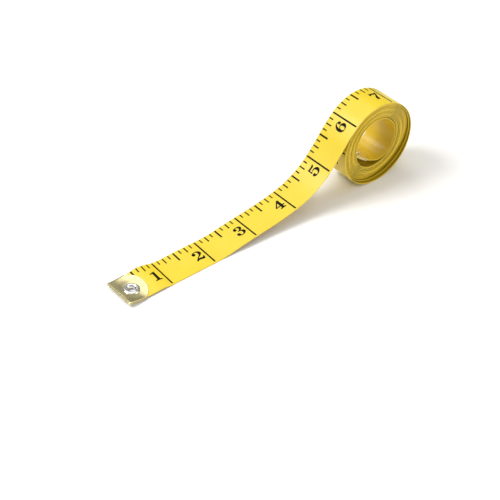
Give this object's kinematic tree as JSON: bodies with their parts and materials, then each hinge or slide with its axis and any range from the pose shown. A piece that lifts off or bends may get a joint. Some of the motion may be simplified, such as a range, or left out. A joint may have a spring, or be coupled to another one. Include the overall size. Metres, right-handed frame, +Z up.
{
  "type": "tape measure",
  "caption": "Soft sewing tape measure standing on its rolled coil, with a short lead laid out flat to a folded metal end clip with a hollow eyelet.",
  "frame": {"origin": "middle of the bounding box, at its underside: half way from the folded end of the outer clip to the far side of the coil, half way across the tape, on the table", "axes": "+X along the lead from the end clip to the coil, +Y across the tape, +Z up from the table"},
  "size_m": [0.1782, 0.0186, 0.0458],
  "materials": {
    "glass_fibre_scrim": "matt woven cloth",
    "vinyl_inch_face": "satin yellow vinyl with black print",
    "vinyl_centimetre_face": "satin yellow vinyl with black print",
    "brass_plate": "polished",
    "nickel_eyelet": "polished"
  },
  "bodies": {
    "coil": {"coil_scrim": "glass_fibre_scrim", "coil_inch_film": "vinyl_inch_face", "coil_cm_film": "vinyl_centimetre_face", "inner_clip": "brass_plate", "inner_eyelet": "nickel_eyelet"},
    "lead_1": {"lead_1_scrim": "glass_fibre_scrim", "lead_1_inch_film": "vinyl_inch_face", "lead_1_cm_film": "vinyl_centimetre_face", "outer_clip": "brass_plate", "outer_eyelet": "nickel_eyelet"},
    "lead_2": {"lead_2_scrim": "glass_fibre_scrim", "lead_2_inch_film": "vinyl_inch_face", "lead_2_cm_film": "vinyl_centimetre_face"},
    "lead_3": {"lead_3_scrim": "glass_fibre_scrim", "lead_3_inch_film": "vinyl_inch_face", "lead_3_cm_film": "vinyl_centimetre_face"},
    "lead_4": {"lead_4_scrim": "glass_fibre_scrim", "lead_4_inch_film": "vinyl_inch_face", "lead_4_cm_film": "vinyl_centimetre_face"},
    "lead_5": {"lead_5_scrim": "glass_fibre_scrim", "lead_5_inch_film": "vinyl_inch_face", "lead_5_cm_film": "vinyl_centimetre_face"},
    "lead_6": {"lead_6_scrim": "glass_fibre_scrim", "lead_6_inch_film": "vinyl_inch_face", "lead_6_cm_film": "vinyl_centimetre_face"},
    "lead_7": {"lead_7_scrim": "glass_fibre_scrim", "lead_7_inch_film": "vinyl_inch_face", "lead_7_cm_film": "vinyl_centimetre_face"}
  },
  "joints": [
    {"name": "bend_at_6_in", "type": "hinge", "parent": "coil", "child": "lead_7", "pos_m": [0.05058, 0, 0.03952], "axis": [0, 1, 0], "range_deg": [-4, 40]},
    {"name": "bend_at_5_in", "type": "hinge", "parent": "lead_7", "child": "lead_6", "pos_m": [0.03394, 0, 0.02037], "axis": [0, 1, 0], "range_deg": [-50, 40]},
    {"name": "bend_at_4_in", "type": "hinge", "parent": "lead_6", "child": "lead_5", "pos_m": [0.01234, 0, 0.00769], "axis": [0, 1, 0], "range_deg": [-50, 40]},
    {"name": "bend_at_3_in", "type": "hinge", "parent": "lead_5", "child": "lead_4", "pos_m": [-0.01269, 0, 0.00347], "axis": [0, 1, 0], "range_deg": [-50, 40]},
    {"name": "twist_at_2_5_in", "type": "hinge", "parent": "lead_4", "child": "lead_3", "pos_m": [-0.02526, 0, 0.00163], "axis": [0.9854, 0, 0.1704], "range_deg": [-60, 60]},
    {"name": "bend_at_2_in", "type": "hinge", "parent": "lead_3", "child": "lead_2", "pos_m": [-0.0379, 0, 0.00066], "axis": [0, 1, 0], "range_deg": [-60, 60]},
    {"name": "bend_at_1_in", "type": "hinge", "parent": "lead_2", "child": "lead_1", "pos_m": [-0.06319, 0, 0.00143], "axis": [0, 1, 0], "range_deg": [-60, 60]}
  ]
}
